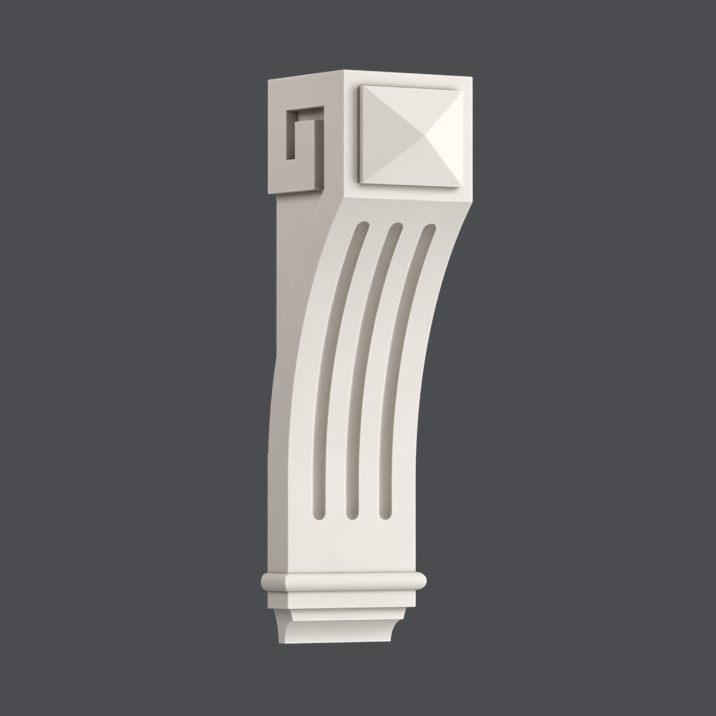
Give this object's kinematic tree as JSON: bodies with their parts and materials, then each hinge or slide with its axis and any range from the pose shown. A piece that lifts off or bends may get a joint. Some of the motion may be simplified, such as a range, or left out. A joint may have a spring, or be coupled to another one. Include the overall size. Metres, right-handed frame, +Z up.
{
  "type": "corbel",
  "caption": "Moulded wall corbel with a Greek key block, a raised pyramid plate, a curved fluted strap and a moulded foot, primed white.",
  "frame": {"origin": "middle of the flat back, in the wall plane", "axes": "+X to the right as seen from the front, +Y into the wall, +Z up"},
  "size_m": [0.14, 0.1411, 0.4704],
  "materials": {
    "primer": "matte white primer coat on rigid foam"
  },
  "bodies": {
    "root": {"corbel": "primer"}
  },
  "joints": []
}
